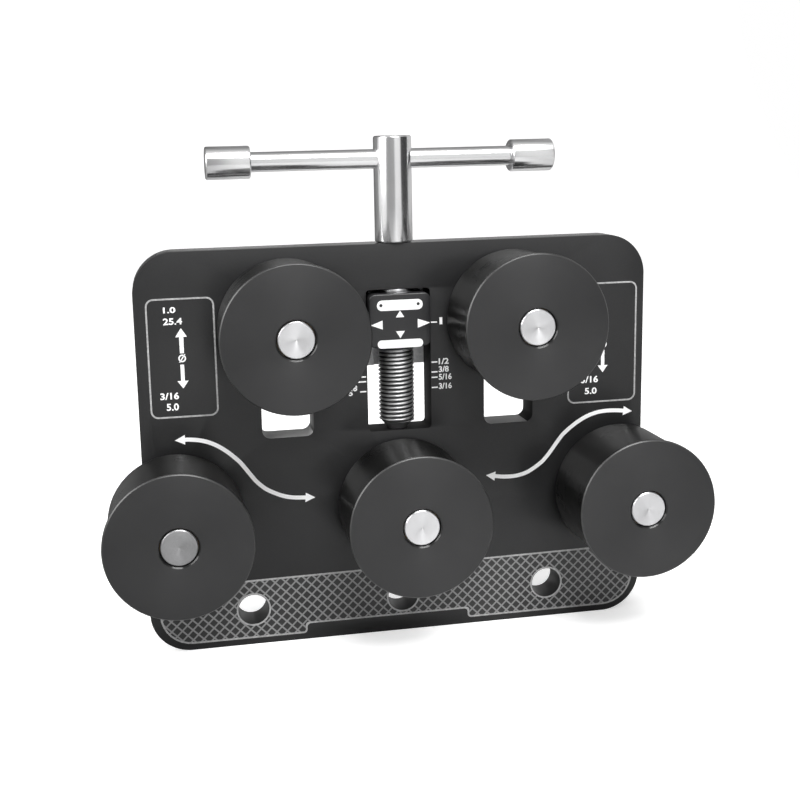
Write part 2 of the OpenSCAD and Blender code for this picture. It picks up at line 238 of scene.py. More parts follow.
# Turning: the profile is radius and distance along Z
def spun(profile, turns, steps, rise=0):
    bm = bmesh.new()
    points = [bm.verts.new((radius, 0, along)) for radius, along in profile]
    wires = [bm.edges.new(pair) for pair in zip(points, points[1:])]
    bmesh.ops.spin(bm, geom=points + wires, cent=(0, 0, 0), axis=(0, 0, 1), dvec=(0, 0, rise),
                   angle=math.tau * turns, steps=steps * turns, use_merge=not rise, use_duplicate=False)
    return bm


def turned(profile, steps=96, edge=0.0, segments=2, sharp=30):
    bm = spun(profile, 1, steps)
    bmesh.ops.remove_doubles(bm, verts=bm.verts, dist=weld)
    bmesh.ops.recalc_face_normals(bm, faces=bm.faces)
    breakEdges(bm, edge, segments, sharp)
    return bm


def tube(inner, outer, start, end, steps, edge):
    return turned([(inner, start), (outer, start), (outer, end), (inner, end), (inner, start)], steps, edge)


def pin(radius, length, edge, steps):  # a round bar with both ends chamfered
    return turned([(0, 0), (radius - edge, 0), (radius, edge), (radius, length - edge),
                   (radius - edge, length), (0, length)], steps)


def plainRod(radius, low, high, sides=48):
    return turned([(0, low), (radius, low), (radius, high), (0, high)], sides)


def breakEdges(bm, width, segments=2, sharp=30):
    if width:
        edges = [e for e in bm.edges if len(e.link_faces) == 2
                 and e.calc_face_angle(0) > math.radians(sharp)]
        bmesh.ops.bevel(bm, geom=edges, offset=width, offset_type="OFFSET", segments=segments,
                        profile=0.5, affect="EDGES", material=-1, clamp_overlap=True)


def layTurnedUv(bm, rise=0.37, pole=1e-5):  # U runs along the profile and V once round the axis
    uv = bm.loops.layers.uv.new("turned")
    for face in bm.faces:
        centre = face.calc_center_median()
        middle = math.atan2(centre.y, centre.x)
        for loop in face.loops:
            x, y, z = loop.vert.co
            angle = math.atan2(y, x) if math.hypot(x, y) > pole else middle
            angle = middle + (angle - middle + math.pi) % math.tau - math.pi
            loop[uv].uv = ((math.hypot(x, y) + rise * z) * mm, angle / math.tau)
    return bm


# Flat work: outlines are drawn in X and Z, filled with their holes, and given a thickness
def ring(x, z, radius, count=64):
    return [(x + radius * math.cos(math.tau * i / count), z + radius * math.sin(math.tau * i / count))
            for i in range(count)]


def roundedBox(width, low, high, radius, x=0.0, count=12):
    corners = ((x + width / 2 - radius, low + radius, 270), (x + width / 2 - radius, high - radius, 0),
               (x - width / 2 + radius, high - radius, 90), (x - width / 2 + radius, low + radius, 180))
    return [(cx + radius * math.cos(math.radians(start + 90 * i / count)),
             cz + radius * math.sin(math.radians(start + 90 * i / count)))
            for cx, cz, start in corners for i in range(count + 1)]


def flatCurve(outlines):
    curve = bpy.data.curves.new("outline", "CURVE")
    curve.dimensions = "2D"
    curve.fill_mode = "BOTH"
    for outline in outlines:
        spline = curve.splines.new("POLY")
        spline.points.add(len(outline) - 1)
        for point, (x, z) in zip(spline.points, outline):
            point.co = (x, z, 0, 1)
        spline.use_cyclic_u = True
    return curve


def bmOf(mesh):
    bm = bmesh.new()
    bm.from_mesh(mesh)
    bpy.data.meshes.remove(mesh)
    return bm


def meshOf(bm, name="work"):
    mesh = bpy.data.meshes.new(name)
    bm.to_mesh(mesh)
    bm.free()
    return mesh


def extruded(bm, way):  # draws every face out by the given way and closes the solid
    grown = bmesh.ops.extrude_face_region(bm, geom=bm.faces[:], use_keep_orig=True)
    moved = [item for item in grown["geom"] if isinstance(item, bmesh.types.BMVert)]
    bmesh.ops.translate(bm, vec=way, verts=moved)
    bmesh.ops.recalc_face_normals(bm, faces=bm.faces)
    return bm


def thicken(curve, front, back):  # stands a flat curve up at one face and draws it out to the other
    holder = bpy.data.objects.new("holder", curve)
    bm = bmOf(bpy.data.meshes.new_from_object(holder))
    bpy.data.objects.remove(holder)
    bpy.data.curves.remove(curve)
    bmesh.ops.remove_doubles(bm, verts=bm.verts, dist=weld)
    bmesh.ops.transform(bm, matrix=at(0, front, 0) @ upright, verts=bm.verts)
    return extruded(bm, (0, back - front, 0))


def slabFrom(outlines, front, back, edge, segments=2, level=1e-5, flatAngle=0.01, straight=1, sharp=60):
    bm = thicken(flatCurve(outlines), front, back)
    inner = [e for e in bm.edges if abs(e.verts[0].co.y - e.verts[1].co.y) < level
             and len(e.link_faces) == 2 and e.calc_face_angle(0) < flatAngle]
    bmesh.ops.dissolve_limit(bm, angle_limit=math.radians(straight), verts=bm.verts, edges=inner)
    breakEdges(bm, edge, segments, sharp)
    bmesh.ops.triangulate(bm, faces=[f for f in bm.faces if len(f.verts) > 4])
    return bm


def carve(bm, cutters, operation="DIFFERENCE"):  # cuts each cutter out of the work, or keeps what they share
    work = addObject("work", meshOf(bm))
    things = [work]
    for cutter in cutters:
        tool = addObject("tool", meshOf(cutter))
        things.append(tool)
        cut = work.modifiers.new("cut", "BOOLEAN")
        cut.operation = operation
        cut.object = tool
        cut.solver = "EXACT"
    bpy.context.view_layer.update()
    made = bmOf(bpy.data.meshes.new_from_object(work.evaluated_get(bpy.context.evaluated_depsgraph_get())))
    for thing in things:
        old = thing.data
        bpy.data.objects.remove(thing)
        bpy.data.meshes.remove(old)
    return made


def placed(bm, matrix):
    bmesh.ops.transform(bm, matrix=matrix, verts=bm.verts)
    return bm


def joined(parts):
    whole = bmesh.new()
    for part in parts:
        mesh = meshOf(part)
        whole.from_mesh(mesh)
        bpy.data.meshes.remove(mesh)
    return whole


def finishPiece(name, bm, look, body, node=None, smooth=35):
    bmesh.ops.scale(bm, vec=(mm, mm, mm), verts=bm.verts)
    mesh = meshOf(bm, name)
    for each in [look] if isinstance(look, str) else look:
        mesh.materials.append(finish[each])
    mesh.shade_smooth()
    mesh.set_sharp_from_angle(angle=math.radians(smooth))
    piece = addObject(name, mesh)
    if node:
        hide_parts(node)
    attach(piece, body)


# The plate with its window, slots, bolt holes, stud holes, and the screw's neck hole and pilot
plate = {"width": 158.75, "height": 123.8, "corner": 12.5, "cornerSteps": 24, "front": -9.525, "foot": -11.4,
         "edge": 0.45, "boltPitch": 47.625, "boltHole": 4.75, "studHole": 4.0,
         "window": (20, 54.4125, 98.5, 1.2), "slot": (15.875, 54.4125, 99.55, 2.5),
         "neckHole": 3.225, "pilotHole": 3.15, "pilotDepth": 8.4, "overrun": 2}
wallShadeAndLight = {"aboveFoot": 20, "belowTop": 5, "side": 45, "near": (0.05, 0.1), "facing": 0.1,
            "inward": -0.3, "up": 0.5, "sillHeight": 3, "level": 0.9, "topHeight": 1}
bolts = [i * plate["boltPitch"] for i in (-1, 0, 1)]
axisY = plate["front"] / 2


def paintWallShadeAndLight(bm, top):  # painted shade and light: the openings' walls get a darker black for the shade inside them, the slots' sills a lit grey, and the top face a glossier black
    w, foot = wallShadeAndLight, plate["foot"]
    width, sill, lintel, _ = plate["window"]
    nearSide, nearEnd = w["near"]
    bm.normal_update()
    for face in bm.faces:
        centre, way = face.calc_center_median(), face.normal
        if (abs(way.y) < w["facing"] and foot + w["aboveFoot"] < centre.z < top - w["belowTop"]
                and abs(centre.x) < w["side"]):
            inWindow = (abs(centre.x) <= width / 2 + nearSide
                        and sill - nearEnd < centre.z < lintel + nearEnd)
            if inWindow or way.x < w["inward"] and centre.x > 0:
                face.material_index = 1
            elif way.z > w["up"] and centre.z < sill + w["sillHeight"]:
                face.material_index = 2
        elif way.z > w["level"] and centre.z > top - w["topHeight"]:
            face.material_index = 3


def makePlate():
    p = plate
    top, over = p["foot"] + p["height"], p["overrun"]
    sill, lintel = p["window"][1:3]
    outlines = [roundedBox(p["width"], p["foot"], top, p["corner"], count=p["cornerSteps"]),
                roundedBox(*p["window"])]
    outlines += [roundedBox(*p["slot"], x=middleOf("roller_" + row).x) for row in upperRow]
    outlines += [ring(x, 0, p["boltHole"]) for x in bolts]
    outlines += [ring(middleOf("roller_" + row).x, middleOf("roller_" + row).z, p["studHole"])
                 for row in lowerRow]
    neckHole = plainRod(p["neckHole"], lintel - over, top + over)
    pilot = plainRod(p["pilotHole"], sill - p["pilotDepth"], sill + over)
    bm = carve(slabFrom(outlines, p["front"], 0, p["edge"]),
               [placed(cutter, at(0, axisY, 0)) for cutter in (neckHole, pilot)])
    paintWallShadeAndLight(bm, top)
    finishPiece("basePlate", bm, ("plateBlack", "wallPaintedShade", "sillPaintedLight", "edgeGloss"), "base", "plate")


makePlate()
print("plate done")

# Rollers: a barrel that the tube runs on, a low lip at the front, and a counterbore for the axle's head
roller = {"lipRadius": 21.45, "lip": 1.4, "lipEdge": 0.15, "barrel": 20.45, "fillet": 0.12, "length": 25.4,
          "rim": 0.4, "bore": 6.38, "boreEdge": 0.3, "counterRadius": 5.6, "counterDepth": 2.6,
          "mouth": 0.45, "skin": 0.02, "steps": 160, "edge": 0.08, "sharp": 25}
bush = {"outer": 6.35, "inner": 4.8, "edge": 0.12, "steps": 64}
axle = {"head": 5.3, "headHeight": 2.2, "headEdge": 0.25, "underEdge": 0.1, "journal": 4.75, "stud": 3.97,
        "dimple": 0.7, "dimpleDepth": 0.25, "dimpleMiddle": 0.12, "shoulder": -12.5, "threadStart": 11.5,
        "threadEnd": 0.7, "threadDepth": 0.5, "threadCrest": 0.08, "tipEdge": 0.6, "steps": 96}
spacer = {"bore": 4.0, "radius": 7.5, "edge": 0.25, "steps": 72}
collar = {"bore": 4.0, "radius": 7.5, "flange": 11, "flangeHeight": 2, "edge": 0.2, "steps": 96}
washer = {"hole": 4.0, "radius": 8.5, "height": 1.6, "edge": 0.18, "steps": 72}
nut = {"across": 12.7, "height": 6.8, "hole": 4.0, "flat": 6.2, "dome": 0.75, "domeOver": 0.05,
       "domeSteps": 72, "mouth": 5.3, "mouthDepth": 0.6, "overrun": 1, "steps": 48}
threadPitch = 1.27


def makeRoller(row):
    r = roller
    node, body = "roller_" + row, row + "_roller"
    rim, lip, barrel, length, edge = (r[key] for key in ("rim", "lipRadius", "barrel", "length", "lipEdge"))
    counter, depth, mouth = r["counterRadius"], r["counterDepth"], r["mouth"]
    shell = turned([(counter, depth), (counter, mouth), (counter + mouth, 0), (lip - rim, 0), (lip, rim),
                    (lip, r["lip"] - edge), (lip - edge, r["lip"]), (barrel + r["fillet"], r["lip"]),
                    (barrel, r["lip"] + r["fillet"]), (barrel, length - rim), (barrel - rim, length),
                    (r["bore"] + r["boreEdge"], length), (r["bore"], length - r["boreEdge"]),
                    (r["bore"], depth), (counter, depth)], r["steps"], r["edge"], sharp=r["sharp"])
    layTurnedUv(shell)
    for face in shell.faces:  # the front face is the matt one, and the lip's rim gets a lighter black, a painted highlight
        middle = face.calc_center_median()
        onRim = r["skin"] < middle.z < rim and math.hypot(middle.x, middle.y) > barrel
        face.material_index = 2 if onRim else 1 if middle.z < r["skin"] else 0
    finishPiece(node + "_barrel", placed(shell, seatOf(node)), ("barrelBlack", "faceBlack", "rimPaintedHighlight"),
                body, node)
    sleeve = tube(bush["inner"], bush["outer"], depth, length, bush["steps"], bush["edge"])
    finishPiece(node + "_bush", placed(sleeve, seatOf(node)), "bearingBronze", body, "bush_" + row)


def threadRings(start, end):  # the visible end of a stud
    radius, depth, crest = axle["stud"], axle["threadDepth"], axle["threadCrest"]
    points = []
    for i in range(int((end - start) / threadPitch)):
        z = start + i * threadPitch
        points += [(radius, z + crest), (radius - depth, z + threadPitch / 2),
                   (radius, z + threadPitch - crest)]
    return points


def makeAxle(row, body):
    a = axle
    node = "axle_" + row
    tail, shoulder = depthOf(node), a["shoulder"] - lowOf(node).y
    head, height, edge, under, tip = a["head"], a["headHeight"], a["headEdge"], a["underEdge"], a["tipEdge"]
    profile = [(0, a["dimpleDepth"]), (a["dimple"] / 2, a["dimpleMiddle"]), (a["dimple"], 0),
               (head - edge, 0), (head, edge), (head, height - under), (head - under, height),
               (a["journal"], height), (a["journal"], shoulder), (a["stud"], shoulder)]
    profile += threadRings(tail - a["threadStart"], tail - a["threadEnd"])
    profile += [(a["stud"], tail - tip), (a["stud"] - tip, tail), (0, tail)]
    # the lower left axle takes the darker copy of the turned steel, painted shade for its dimmer head
    look = "dullSteel" if row == "lower_left" else "turnedSteel"
    finishPiece(node + "_pin", placed(layTurnedUv(turned(profile, a["steps"])), seatOf(node)), look, body,
                node)


def makeSpacer(row):
    s, node = spacer, "spacer_" + row
    bm = layTurnedUv(tube(s["bore"], s["radius"], 0, depthOf(node), s["steps"], s["edge"]))
    finishPiece(node + "_tube", placed(bm, seatOf(node)), "turnedSteel", "base", node)


def makeCollar(row):
    c, node = collar, "collar_" + row
    bore, length = c["bore"], depthOf(node)
    start = length - c["flangeHeight"]
    bm = layTurnedUv(turned([(bore, 0), (c["radius"], 0), (c["radius"], start), (c["flange"], start),
                             (c["flange"], length), (bore, length), (bore, 0)], c["steps"], c["edge"]))
    finishPiece(node + "_flange", placed(bm, seatOf(node)), "turnedSteel", "carriage", node)


def nutBody():
    n = nut
    corner = n["across"] / math.sqrt(3)
    bm = bmesh.new()
    bmesh.ops.create_circle(bm, cap_ends=True, segments=6, radius=corner)
    bm = extruded(bm, (0, 0, n["height"]))
    wide, drop, end = corner + n["domeOver"], n["dome"], n["height"] + n["overrun"]
    dome = turned([(0, 0), (n["flat"], 0), (wide, drop), (wide, n["height"] - drop),
                   (n["flat"], n["height"]), (0, n["height"])], n["domeSteps"])
    bore = turned([(0, -n["overrun"]), (n["mouth"], -n["overrun"]), (n["hole"], n["mouthDepth"]),
                   (n["hole"], n["height"] - n["mouthDepth"]), (n["mouth"], end), (0, end)], n["steps"])
    return carve(carve(bm, [dome], "INTERSECT"), [bore])


def makeFasteners(group, rowNames, body):
    w = washer
    washers, nuts = [], []
    for row in rowNames:
        centre = middleOf("axle_" + row)
        disc = tube(w["hole"], w["radius"], 0, w["height"], w["steps"], w["edge"])
        washers.append(placed(disc, seat(centre.x, lowOf(group + "_washers").y, centre.z)))
        nuts.append(placed(nutBody(), seat(centre.x, lowOf(group + "_nuts").y, centre.z)))
    finishPiece(group + "_washer_set", joined(washers), "zincSteel", body, group + "_washers")
    finishPiece(group + "_nut_set", joined(nuts), "zincSteel", body, group + "_nuts", smooth=25)


for row in lowerRow + upperRow:
    makeRoller(row)
    makeAxle(row, "base" if row in lowerRow else "carriage")
for row in lowerRow:
    makeSpacer(row)
for row in upperRow:
    makeCollar(row)
makeFasteners("lower", lowerRow, "base")
makeFasteners("upper", upperRow, "carriage")
print("rollers, axles and their nuts done")

# The carriage: nut block in the window, bar behind the plate, shoes in the slots
block = {"width": 19.05, "radius": 2.0, "edge": 0.4, "bore": 5.6, "boreSteps": 72, "overrun": 2}
carriageBar = {"radius": 6.25, "cornerSteps": 16, "edge": 0.6, "studHole": 4.0,
               "relief": (12.1, 4, 60), "reliefDepth": 1.0875}
shoe = {"radius": 2.5, "edge": 0.25, "studHole": 4.0}
capScrew = {"edge": 0.3, "socket": 0.45, "gap": 0.05, "overrun": 1, "reach": 2, "steps": 48, "holeSteps": 40}
blockScrew = {"shank": 1.25, "head": 2.25, "height": 2.5, "x": 7.5875, "z": 5.7}
stopScrew = {"shank": 2.0, "head": 3.5, "height": 2.6, "x": 14.25}
stop = {"notch": 9.5, "web": 4, "edge": 0.35, "holeSteps": 32}


def makeCapScrews(name, size, tip, under, spots, body, node):  # under is the seat of the heads
    edge, shank, head = capScrew["edge"], size["shank"], size["head"]
    length = under - tip
    top = length + size["height"]
    screws = []
    for x, z in spots:
        bm = turned([(0, 0), (shank - edge, 0), (shank, edge), (shank, length), (head, length),
                     (head, top - edge), (head - edge, top), (0, top)], capScrew["steps"])
        socket = plainRod(shank, length + size["height"] * capScrew["socket"], top + capScrew["overrun"], 6)
        screws.append(placed(carve(bm, [socket]), seat(x, tip, z)))
    finishPiece(name, joined(screws), "screwBlack", body, node)


def screwHole(x, z, back, size):  # a through hole with the head's counterbore from the back
    c = capScrew
    shank, head, under = size["shank"] + c["gap"], size["head"] + c["gap"], back - size["height"]
    bm = turned([(0, -c["reach"]), (shank, -c["reach"]), (shank, under), (head, under),
                 (head, back + c["overrun"]), (0, back + c["overrun"])], c["holeSteps"])
    return placed(bm, seat(x, 0, z))


def makeCarriage():
    low, high = lowOf("carriage_bar"), highOf("carriage_bar")
    rise = middleOf("axle_upper_left").z
    c, s = carriageBar, blockScrew
    spots = [(sx * s["x"], rise + sz * s["z"]) for sx in (-1, 1) for sz in (-1, 1)]
    outlines = [roundedBox(high.x - low.x, low.z, high.z, c["radius"], count=c["cornerSteps"])]
    outlines += [ring(middleOf("axle_" + row).x, rise, c["studHole"]) for row in upperRow]
    relief = bmesh.new()
    bmesh.ops.create_cube(relief, size=1)
    bmesh.ops.scale(relief, vec=c["relief"], verts=relief.verts)
    placed(relief, at(0, low.y + c["reliefDepth"] - c["relief"][1] / 2, rise))
    bm = carve(slabFrom(outlines, low.y, high.y, c["edge"], 3),
               [screwHole(x, z, high.y, s) for x, z in spots] + [relief])
    finishPiece("carriage_bar_body", bm, "barSteel", "carriage", "carriage_bar")
    makeCapScrews("block_screw_set", s, lowOf("block_screws").y, high.y - s["height"], spots, "carriage",
                  "block_screws")

    low, high = lowOf("nut_block"), highOf("nut_block")
    bm = slabFrom([roundedBox(block["width"], low.z, high.z, block["radius"])], low.y, high.y,
                  block["edge"], 3)
    over = block["overrun"]
    bore = placed(plainRod(block["bore"], low.z - over, high.z + over, block["boreSteps"]), at(0, axisY, 0))
    finishPiece("nut_block_body", carve(bm, [bore]), "blockBlack", "carriage", "nut_block")

    for side in ("left", "right"):
        node = "slide_shoe_" + side
        low, high, x = lowOf(node), highOf(node), middleOf(node).x
        bm = slabFrom([roundedBox(high.x - low.x, low.z, high.z, shoe["radius"], x=x),
                       ring(x, rise, shoe["studHole"])], low.y, high.y, shoe["edge"])
        finishPiece(node + "_block", bm, "bearingBronze", "carriage", node)


def makeStop():
    low, high = lowOf("travel_stop"), highOf("travel_stop")
    s = stopScrew
    spots = [(x, (low.z + high.z) / 2) for x in (-s["x"], s["x"])]
    half, notch, web = (high.x - low.x) / 2, stop["notch"], high.z - stop["web"]
    outline = [(-half, low.z), (-notch, low.z), (-notch, web), (notch, web), (notch, low.z), (half, low.z),
               (half, high.z), (-half, high.z)]
    holes = [ring(x, z, s["shank"] + capScrew["gap"], stop["holeSteps"]) for x, z in spots]
    finishPiece("travel_stop_bracket", slabFrom([outline] + holes, low.y, high.y, stop["edge"]),
                "plateBlack", "base", "travel_stop")
    makeCapScrews("stop_screw_set", s, lowOf("stop_screws").y, high.y, spots, "base", "stop_screws")


makeCarriage()
makeStop()
print("carriage done")

# The screw and its handle; the stations are the thread profile's corners along one pitch
screw = {"radius": 5.55, "root": 4.8, "flank": 0.35, "crestEdge": 0.06, "low": 56.8, "high": 97.4,
         "stations": (0, 0.1, 0.28, 0.46, 0.52, 0.75, 0.81, 0.99, 1.17, 1.27), "spareTurns": 3,
         "startBelow": 1.5, "steps": 48, "grooveShadeDepth": 0.3, "neck": 3.175, "pilot": 3.1, "tip": 46.4,
         "tipEdge": 0.5, "taperStart": 54.6, "taperOver": 0.1, "taperGap": 0.05, "lapInside": 0.3,
         "lap": 0.4, "plainSteps": 64}
thrustWasher = {"bore": 3.25, "radius": 5.2, "edge": 0.12, "steps": 64}
handle = {"post": 5.8, "foot": 112.5, "top": 144.5, "edge": 0.45, "bore": 3.205, "postSteps": 96,
          "rodAxis": 137.6, "rod": 3.0, "rodEdge": 0.3, "rodSteps": 72, "rodLow": -51.05, "rodHigh": 44.65,
          "slide": 0.05, "cutReach": 10, "cutSteps": 64, "smallEdge": 0.12}
knob = {"radius": 4.9, "length": 13.3, "edge": 0.4, "socket": 8, "fit": 0.03, "mouth": 0.25,
        "smallEdge": 0.1, "sharp": 20, "steps": 80}
setScrew = {"rise": 120.4, "radius": 2.0, "edge": 0.3, "fit": 0.03, "socket": (1.0, 1.1, 5), "steps": 40}
neckTop = highOf("adjusting_screw").z


def helix(seam=0.01, onPlane=1e-3):  # the profile spun up the screw, cut square and closed at both ends
    s = screw
    root, crest = s["root"], s["radius"]
    turns = int((s["high"] - s["low"]) / threadPitch) + s["spareTurns"]
    start = s["low"] - threadPitch * s["startBelow"]
    radii = (root, root, root + s["flank"], crest - s["crestEdge"], crest)
    profile = [(radius, start + along) for radius, along in zip(radii + radii[::-1], s["stations"])]
    bm = spun(profile, turns, s["steps"], threadPitch / s["steps"])
    bmesh.ops.remove_doubles(bm, verts=bm.verts, dist=seam)
    for height, way in ((s["low"], -1), (s["high"], 1)):
        bmesh.ops.bisect_plane(bm, geom=bm.verts[:] + bm.edges[:] + bm.faces[:], dist=weld,
                               plane_co=(0, 0, height), plane_no=(0, 0, way), clear_outer=True)
        rim = [e for e in bm.edges if e.is_boundary and all(abs(v.co.z - height) < onPlane for v in e.verts)]
        bmesh.ops.contextual_create(bm, geom=rim)
    bmesh.ops.triangulate(bm, faces=[f for f in bm.faces if len(f.verts) > 4])
    bmesh.ops.recalc_face_normals(bm, faces=bm.faces)
    for face in bm.faces:  # painted shade: the faces deep in the groove get a darker finish for the shade between the flanks
        centre = face.calc_center_median()
        face.material_index = int(math.hypot(centre.x, centre.y) < root + s["grooveShadeDepth"])
    return bm


def makeScrew():
    s = screw
    pilot, tip, edge, lap = s["pilot"], s["tip"], s["tipEdge"], s["lap"]
    lower = turned([(0, tip), (pilot - edge, tip), (pilot, tip + edge), (pilot, s["taperStart"]),
                    (s["root"] + s["taperOver"], s["low"] - s["taperGap"]),
                    (s["root"] - s["lapInside"], s["low"] + lap), (0, s["low"] + lap)], s["plainSteps"])
    neck = plainRod(s["neck"], s["high"] - lap, neckTop, s["plainSteps"])
    finishPiece("adjusting_screw_thread", placed(joined([helix(), lower, neck]), at(0, axisY, 0)),
                ("threadSteel", "groovePaintedShade"), "screw", "adjusting_screw", smooth=50)
    w, low = thrustWasher, lowOf("thrust_washer").z
    disc = layTurnedUv(tube(w["bore"], w["radius"], 0, highOf("thrust_washer").z - low, w["steps"],
                            w["edge"]))
    finishPiece("thrust_washer_ring", placed(disc, at(0, axisY, low)), "turnedSteel", "screw",
                "thrust_washer")


def makePost():
    h, s = handle, setScrew
    post, edge, bore, foot, top = (h[key] for key in ("post", "edge", "bore", "foot", "top"))
    bm = turned([(0, neckTop), (bore, neckTop), (bore, foot), (post - edge, foot), (post, foot + edge),
                 (post, top - edge), (post - edge, top), (0, top)], h["postSteps"], h["smallEdge"])
    cross = plainRod(h["rod"] + h["slide"], -h["cutReach"], h["cutReach"], h["cutSteps"])
    setHole = plainRod(s["radius"] + s["fit"], 0, h["cutReach"], s["steps"])
    bm = layTurnedUv(carve(bm, [placed(cross, at(0, 0, h["rodAxis"]) @ alongX),
                                placed(setHole, seat(0, 0, s["rise"]))]))
    finishPiece("handle_post_turned", placed(bm, at(0, axisY, 0)), "handleSteel", "screw", "handle_post")
    width, start, end = s["socket"]
    bm = pin(s["radius"], depthOf("set_screw"), s["edge"], s["steps"])
    bm = carve(bm, [plainRod(width, start, end, 6)])
    finishPiece("set_screw_body", placed(bm, seat(0, lowOf("set_screw").y, s["rise"])), "screwBlack",
                "screw", "set_screw")


def makeBar():
    h, k = handle, knob
    rod = layTurnedUv(pin(h["rod"], h["rodHigh"] - h["rodLow"], h["rodEdge"], h["rodSteps"]))
    finishPiece("sliding_bar_rod", placed(rod, at(h["rodLow"], axisY, h["rodAxis"]) @ alongX),
                "handleSteel", "handle_bar", "sliding_bar")
    r, edge, length, mouth = k["radius"], k["edge"], k["length"], k["mouth"]
    bore, bottom = h["rod"] + k["fit"], k["socket"] + k["fit"]
    back = alongX @ Matrix.Rotation(math.pi, 4, "X")
    for side, inner, turn in (("left", h["rodLow"] + k["socket"], back),
                              ("right", h["rodHigh"] - k["socket"], alongX)):
        bm = turned([(bore, mouth), (bore + mouth, 0), (r - edge, 0), (r, edge), (r, length - edge),
                     (r - edge, length), (0, length), (0, bottom), (bore, bottom), (bore, mouth)],
                    k["steps"], k["smallEdge"], sharp=k["sharp"])
        finishPiece("knob_" + side + "_cap", placed(layTurnedUv(bm), at(inner, axisY, h["rodAxis"]) @ turn),
                    "handleSteel", "handle_bar", "knob_" + side)


makeScrew()
makePost()
makeBar()
print("screw and handle done")

# Printed marks: films a hair thick on the plate's front and on the block's face
marks = {"film": 0.05, "sink": 0.02, "bold": 0.025, "line": 0.5, "stroke": 1.25, "arrowHead": (1.5, 3.0),
         "tick": 0.2, "fontSteps": 3}
panels = [{"box": (-75.9, -55.7, 62.7, 98.8), "centre": -65.8, "drop": 0,
           "numbers": (("1.0", -70.7, -67.1, 94.4, 96.2), ("25.4", -70.9, -65.3, 90.9, 92.9),
                       ("3/16", -72.8, -67.3, 68.4, 70.5), ("5.0", -71.1, -67.5, 65.0, 67.2))},
          {"box": (54.4, 77.2, 59.1, 97.6), "centre": 66.2, "drop": 2.85,
           "numbers": (("1.0", 60.4, 64.0, 91.5, 93.3), ("25.4", 60.2, 65.6, 88.0, 90.0),
                       ("3/16", 58.9, 64.6, 65.6, 67.8), ("5.0", 60.2, 64.2, 61.9, 64.0))}]
panelMarks = {"corner": 2.4,
              "arrows": ((0, 87.15, 89.8, 1.7, 0.6, 82.25), (-0.1, 73.9, 71.6, -1.65, -0.55, 78.8)),
              "circle": (80.7, (1.15, 0.75), 24),
              "slash": ((-0.95, 79.6), (-0.7, 79.4), (0.95, 81.8), (0.7, 82))}
indexMarks = [(10.2, 12.1, 87.7, "1", (12.9, 13.8, 86.9, 89.1)),
              (10.2, 12.1, 75.2, "1/2", (12.5, 15.7, 74.4, 76.3)),
              (10.2, 12.1, 72.1, "3/8", (12.5, 15.7, 71.9, 73.8)),
              (10.2, 12.1, 70.4, "5/16", (12.5, 16.6, 69.5, 71.4)),
              (10.2, 12.1, 67.2, "3/16", (12.5, 16.6, 66.6, 68.5)), (-12.4, -10.45, 71.8, "", None),
              (-13.0, -10.45, 70.3, "8", (-14.6, -13.3, 67.5, 69.4)),
              (-12.4, -10.45, 67.2, "5", (-15.9, -14.7, 66.1, 67.9))]
leftSweep = [(-66.2, 55.8), (-64.7, 55.75), (-61.2, 55.2), (-57.6, 53.8), (-54.1, 51.5), (-50.6, 48.3),
             (-48.9, 46.2), (-47.1, 43.7), (-45.4, 41.4), (-43.6, 39.6), (-41.8, 38.2), (-38, 36.3),
             (-34.5, 35.3), (-30.3, 34.95)]
rightSweep = [(30.5, 37.2), (33.5, 36.8), (37.4, 36.8), (41.4, 37.85), (45.4, 40.3), (47.4, 42.2),
              (49.4, 44.7), (51.4, 47.4), (53.4, 49.7), (57.4, 52.8), (61.4, 54.9), (65.4, 55.95),
              (69.5, 56.1), (73.3, 55.75)]
band = {"left": -76.5, "right": 77.1, "low": -9.4, "high": (9.4, 10.8), "corner": 10, "topCorner": 1.2,
        "notch": (-31, 21.2), "notchTop": -6.3, "notchCorner": 1.2, "line": 0.55, "boltRing": 5.35,
        "ringLine": 0.5, "ringSteps": 48}
blockMarks = {"bars": ((-7.1, 7.05, 92.3, 95.5), (-7.08, 7.02, 80.75, 83.3)), "endGap": 0.05,
              "dots": ((-5.88, 93.98), (5.67, 94.02)), "dot": 0.5, "dotSteps": 16,
              "points": (((0, 92.2), (1.3, 90.15), (-1.3, 90.15)), ((0, 83.7), (-1.37, 85.9), (1.37, 85.9)),
                         ((-9.14, 88.05), (-5.45, 86.65), (-5.45, 89.4)),
                         ((9.3, 88.05), (5.44, 89.4), (5.44, 86.65)))}


def printed(curve, front):
    return thicken(curve, front - marks["film"], front + marks["sink"])


def film(outlines, front=plate["front"]):
    return printed(flatCurve(outlines), front)


def label(text, left, right, low, high):  # plain numbers, fitted into the given box
    curve = bpy.data.curves.new("label", "FONT")
    curve.body = text
    curve.resolution_u = marks["fontSteps"]
    curve.offset = marks["bold"]
    bm = printed(curve, plate["front"])
    ends = [[pick(v.co[axis] for v in bm.verts) for pick in (min, max)] for axis in (0, 2)]
    grow = [(b - a) / (end - start) for (a, b), (start, end) in zip(((left, right), (low, high)), ends)]
    return placed(bm, at(left, 0, low) @ Matrix.Diagonal((grow[0], 1, grow[1], 1))
                  @ at(-ends[0][0], 0, -ends[1][0]))


def filleted(corners, count=8):  # a closed outline with every corner rounded to its own radius
    points = []
    for i, (x, z, radius) in enumerate(corners):
        here = Vector((x, z))
        before, after = (Vector(corners[(i + step) % len(corners)][:2]) for step in (-1, 1))
        inward, outward = (before - here).normalized(), (after - here).normalized()
        half = inward.angle(outward) / 2
        centre = here + (inward + outward).normalized() * radius / math.sin(half)
        start, end = (here + way * radius / math.tan(half) - centre for way in (inward, outward))
        first = math.atan2(start.y, start.x)
        sweep = (math.atan2(end.y, end.x) - first + math.pi) % math.tau - math.pi
        points += [(centre.x + radius * math.cos(first + sweep * k / count),
                    centre.y + radius * math.sin(first + sweep * k / count)) for k in range(count + 1)]
    return points


